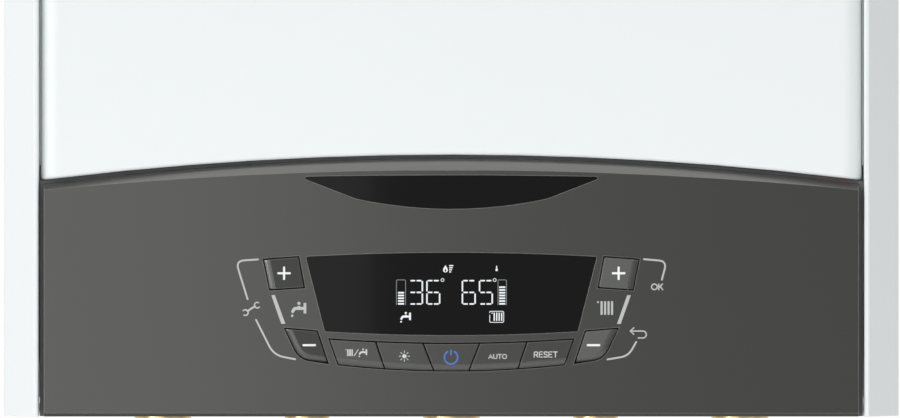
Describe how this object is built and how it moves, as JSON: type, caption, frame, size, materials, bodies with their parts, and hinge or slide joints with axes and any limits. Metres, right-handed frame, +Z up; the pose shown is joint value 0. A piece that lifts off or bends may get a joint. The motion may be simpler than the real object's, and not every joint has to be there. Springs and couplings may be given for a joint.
{
  "type": "wall-hung gas boiler",
  "caption": "White wall-hung condensing gas boiler with a dark arched control panel, display window and keys, and its burner, pump and water circuits inside.",
  "frame": {"origin": "midway between the two wall screws, on the wall plane", "axes": "+X to the right, -Y out of the wall towards the viewer, +Z up"},
  "size_m": [0.4, 0.319, 0.8177],
  "materials": {
    "painted_white": "satin white powder coat",
    "galvanised_steel": "galvanised sheet",
    "zinc_screw": "zinc plated",
    "warm_grey_plastic": "satin warm dark grey",
    "key_plastic": "satin dark grey",
    "gloss_black": "gloss black",
    "black_plastic": "matt glass-filled plastic",
    "board_green": "solder mask",
    "display_glass": "dark display glass",
    "grey_rubber": "soft",
    "red_paint": "gloss red",
    "stainless": "brushed stainless",
    "cast_aluminium": "sand cast",
    "electrode_steel": "wire",
    "copper": "drawn copper tube",
    "brass": "turned brass",
    "cast_iron": "painted casting",
    "light_plastic": "polypropylene",
    "knob_red": "moulded",
    "knob_black": "moulded"
  },
  "bodies": {
    "casing": {"wall_bracket": "galvanised_steel", "rear_frame": "galvanised_steel", "side_panel_left": "painted_white", "side_panel_right": "painted_white", "top_panel": "galvanised_steel", "lower_frame": "galvanised_steel", "control_hinge_pins": "zinc_screw", "expansion_vessel": "red_paint", "drum_stays": "galvanised_steel", "heat_exchanger_drum": "black_plastic", "heat_exchanger_coil": "stainless", "burner_door": "cast_aluminium", "burner_door_nuts": "zinc_screw", "burner_tube": "stainless", "electrodes": "electrode_steel", "fan_housing": "black_plastic", "fan_motor": "black_plastic", "gas_air_mixer": "cast_aluminium", "air_silencer": "black_plastic", "gas_valve": "cast_aluminium", "gas_pipe": "copper", "flue_duct": "light_plastic", "flue_collar": "light_plastic", "pump_housing": "cast_iron", "pump_motor": "black_plastic", "plate_heat_exchanger": "stainless", "flow_manifold": "black_plastic", "diverter_actuator": "black_plastic", "return_manifold": "black_plastic", "condensate_trap": "light_plastic", "water_pipes": "copper", "large_pipe_tails": "brass", "small_pipe_tails": "brass"},
    "front_cover": {"front_panel": "painted_white", "front_panel_screws": "zinc_screw"},
    "control_panel": {"fascia": "warm_grey_plastic", "badge_plate": "gloss_black", "display_window": "gloss_black", "display_module": "display_glass", "display_board": "board_green", "keypad_mat": "grey_rubber", "control_housing": "black_plastic", "control_rear_cover": "black_plastic", "main_board": "board_green", "cable_glands": "grey_rubber"},
    "fan_rotor": {"fan_impeller": "light_plastic"},
    "pump_rotor": {"pump_impeller": "light_plastic"},
    "diverter": {"diverter_spindle": "stainless"},
    "flow_wheel": {"flow_turbine": "light_plastic"},
    "safety_knob": {"safety_valve_knob": "knob_red"},
    "filling_handle": {"filling_knob": "knob_black"},
    "mode_key": {"mode_key": "key_plastic"},
    "comfort_key": {"comfort_key": "key_plastic"},
    "power_key": {"power_key": "key_plastic"},
    "auto_key": {"auto_key": "key_plastic"},
    "reset_key": {"reset_key": "key_plastic"},
    "heating_plus_key": {"heating_plus_key": "key_plastic"},
    "heating_minus_key": {"heating_minus_key": "key_plastic"},
    "hot_water_plus_key": {"hot_water_plus_key": "key_plastic"},
    "hot_water_minus_key": {"hot_water_minus_key": "key_plastic"}
  },
  "joints": [
    {"name": "front_panel_tilt", "type": "hinge", "parent": "casing", "child": "front_cover", "pos_m": [0, -0.2994, 0.0315], "axis": [-1, 0, 0], "range_deg": [0, 12]},
    {"name": "control_panel_tilt", "type": "hinge", "parent": "casing", "child": "control_panel", "pos_m": [0, -0.246, -0.698], "axis": [1, 0, 0], "range_deg": [0, 90]},
    {"name": "fan_spin", "type": "hinge", "parent": "casing", "child": "fan_rotor", "pos_m": [-0.115, -0.205, -0.362], "axis": [0, 0, 1], "continuous": true},
    {"name": "pump_spin", "type": "hinge", "parent": "casing", "child": "pump_rotor", "pos_m": [0.128, -0.15, -0.522], "axis": [0, -1, 0], "continuous": true},
    {"name": "diverter_shift", "type": "slide", "parent": "casing", "child": "diverter", "axis": [0, 0, -1], "range_m": [0, 0.008]},
    {"name": "flow_wheel_spin", "type": "hinge", "parent": "casing", "child": "flow_wheel", "pos_m": [0.067, -0.075, -0.662], "axis": [0, 0, 1], "continuous": true},
    {"name": "safety_knob_turn", "type": "hinge", "parent": "casing", "child": "safety_knob", "pos_m": [0.178, -0.075, -0.6], "axis": [1, 0, 0], "range_deg": [0, 90]},
    {"name": "filling_knob_turn", "type": "hinge", "parent": "casing", "child": "filling_handle", "pos_m": [0.104, -0.11, -0.702], "axis": [0, 0, 1], "range_deg": [0, 180]},
    {"name": "mode_key_press", "type": "slide", "parent": "control_panel", "child": "mode_key", "axis": [0, 1, 0], "range_m": [0, 0.0008], "stiffness_N_per_m": 800},
    {"name": "comfort_key_press", "type": "slide", "parent": "control_panel", "child": "comfort_key", "axis": [0, 1, 0], "range_m": [0, 0.0008], "stiffness_N_per_m": 800},
    {"name": "power_key_press", "type": "slide", "parent": "control_panel", "child": "power_key", "axis": [0, 1, 0], "range_m": [0, 0.0008], "stiffness_N_per_m": 800},
    {"name": "auto_key_press", "type": "slide", "parent": "control_panel", "child": "auto_key", "axis": [0, 1, 0], "range_m": [0, 0.0008], "stiffness_N_per_m": 800},
    {"name": "reset_key_press", "type": "slide", "parent": "control_panel", "child": "reset_key", "axis": [0, 1, 0], "range_m": [0, 0.0008], "stiffness_N_per_m": 800},
    {"name": "heating_plus_key_press", "type": "slide", "parent": "control_panel", "child": "heating_plus_key", "axis": [0, 1, 0], "range_m": [0, 0.0008], "stiffness_N_per_m": 800},
    {"name": "heating_minus_key_press", "type": "slide", "parent": "control_panel", "child": "heating_minus_key", "axis": [0, 1, 0], "range_m": [0, 0.0008], "stiffness_N_per_m": 800},
    {"name": "hot_water_plus_key_press", "type": "slide", "parent": "control_panel", "child": "hot_water_plus_key", "axis": [0, 1, 0], "range_m": [0, 0.0008], "stiffness_N_per_m": 800},
    {"name": "hot_water_minus_key_press", "type": "slide", "parent": "control_panel", "child": "hot_water_minus_key", "axis": [0, 1, 0], "range_m": [0, 0.0008], "stiffness_N_per_m": 800}
  ]
}
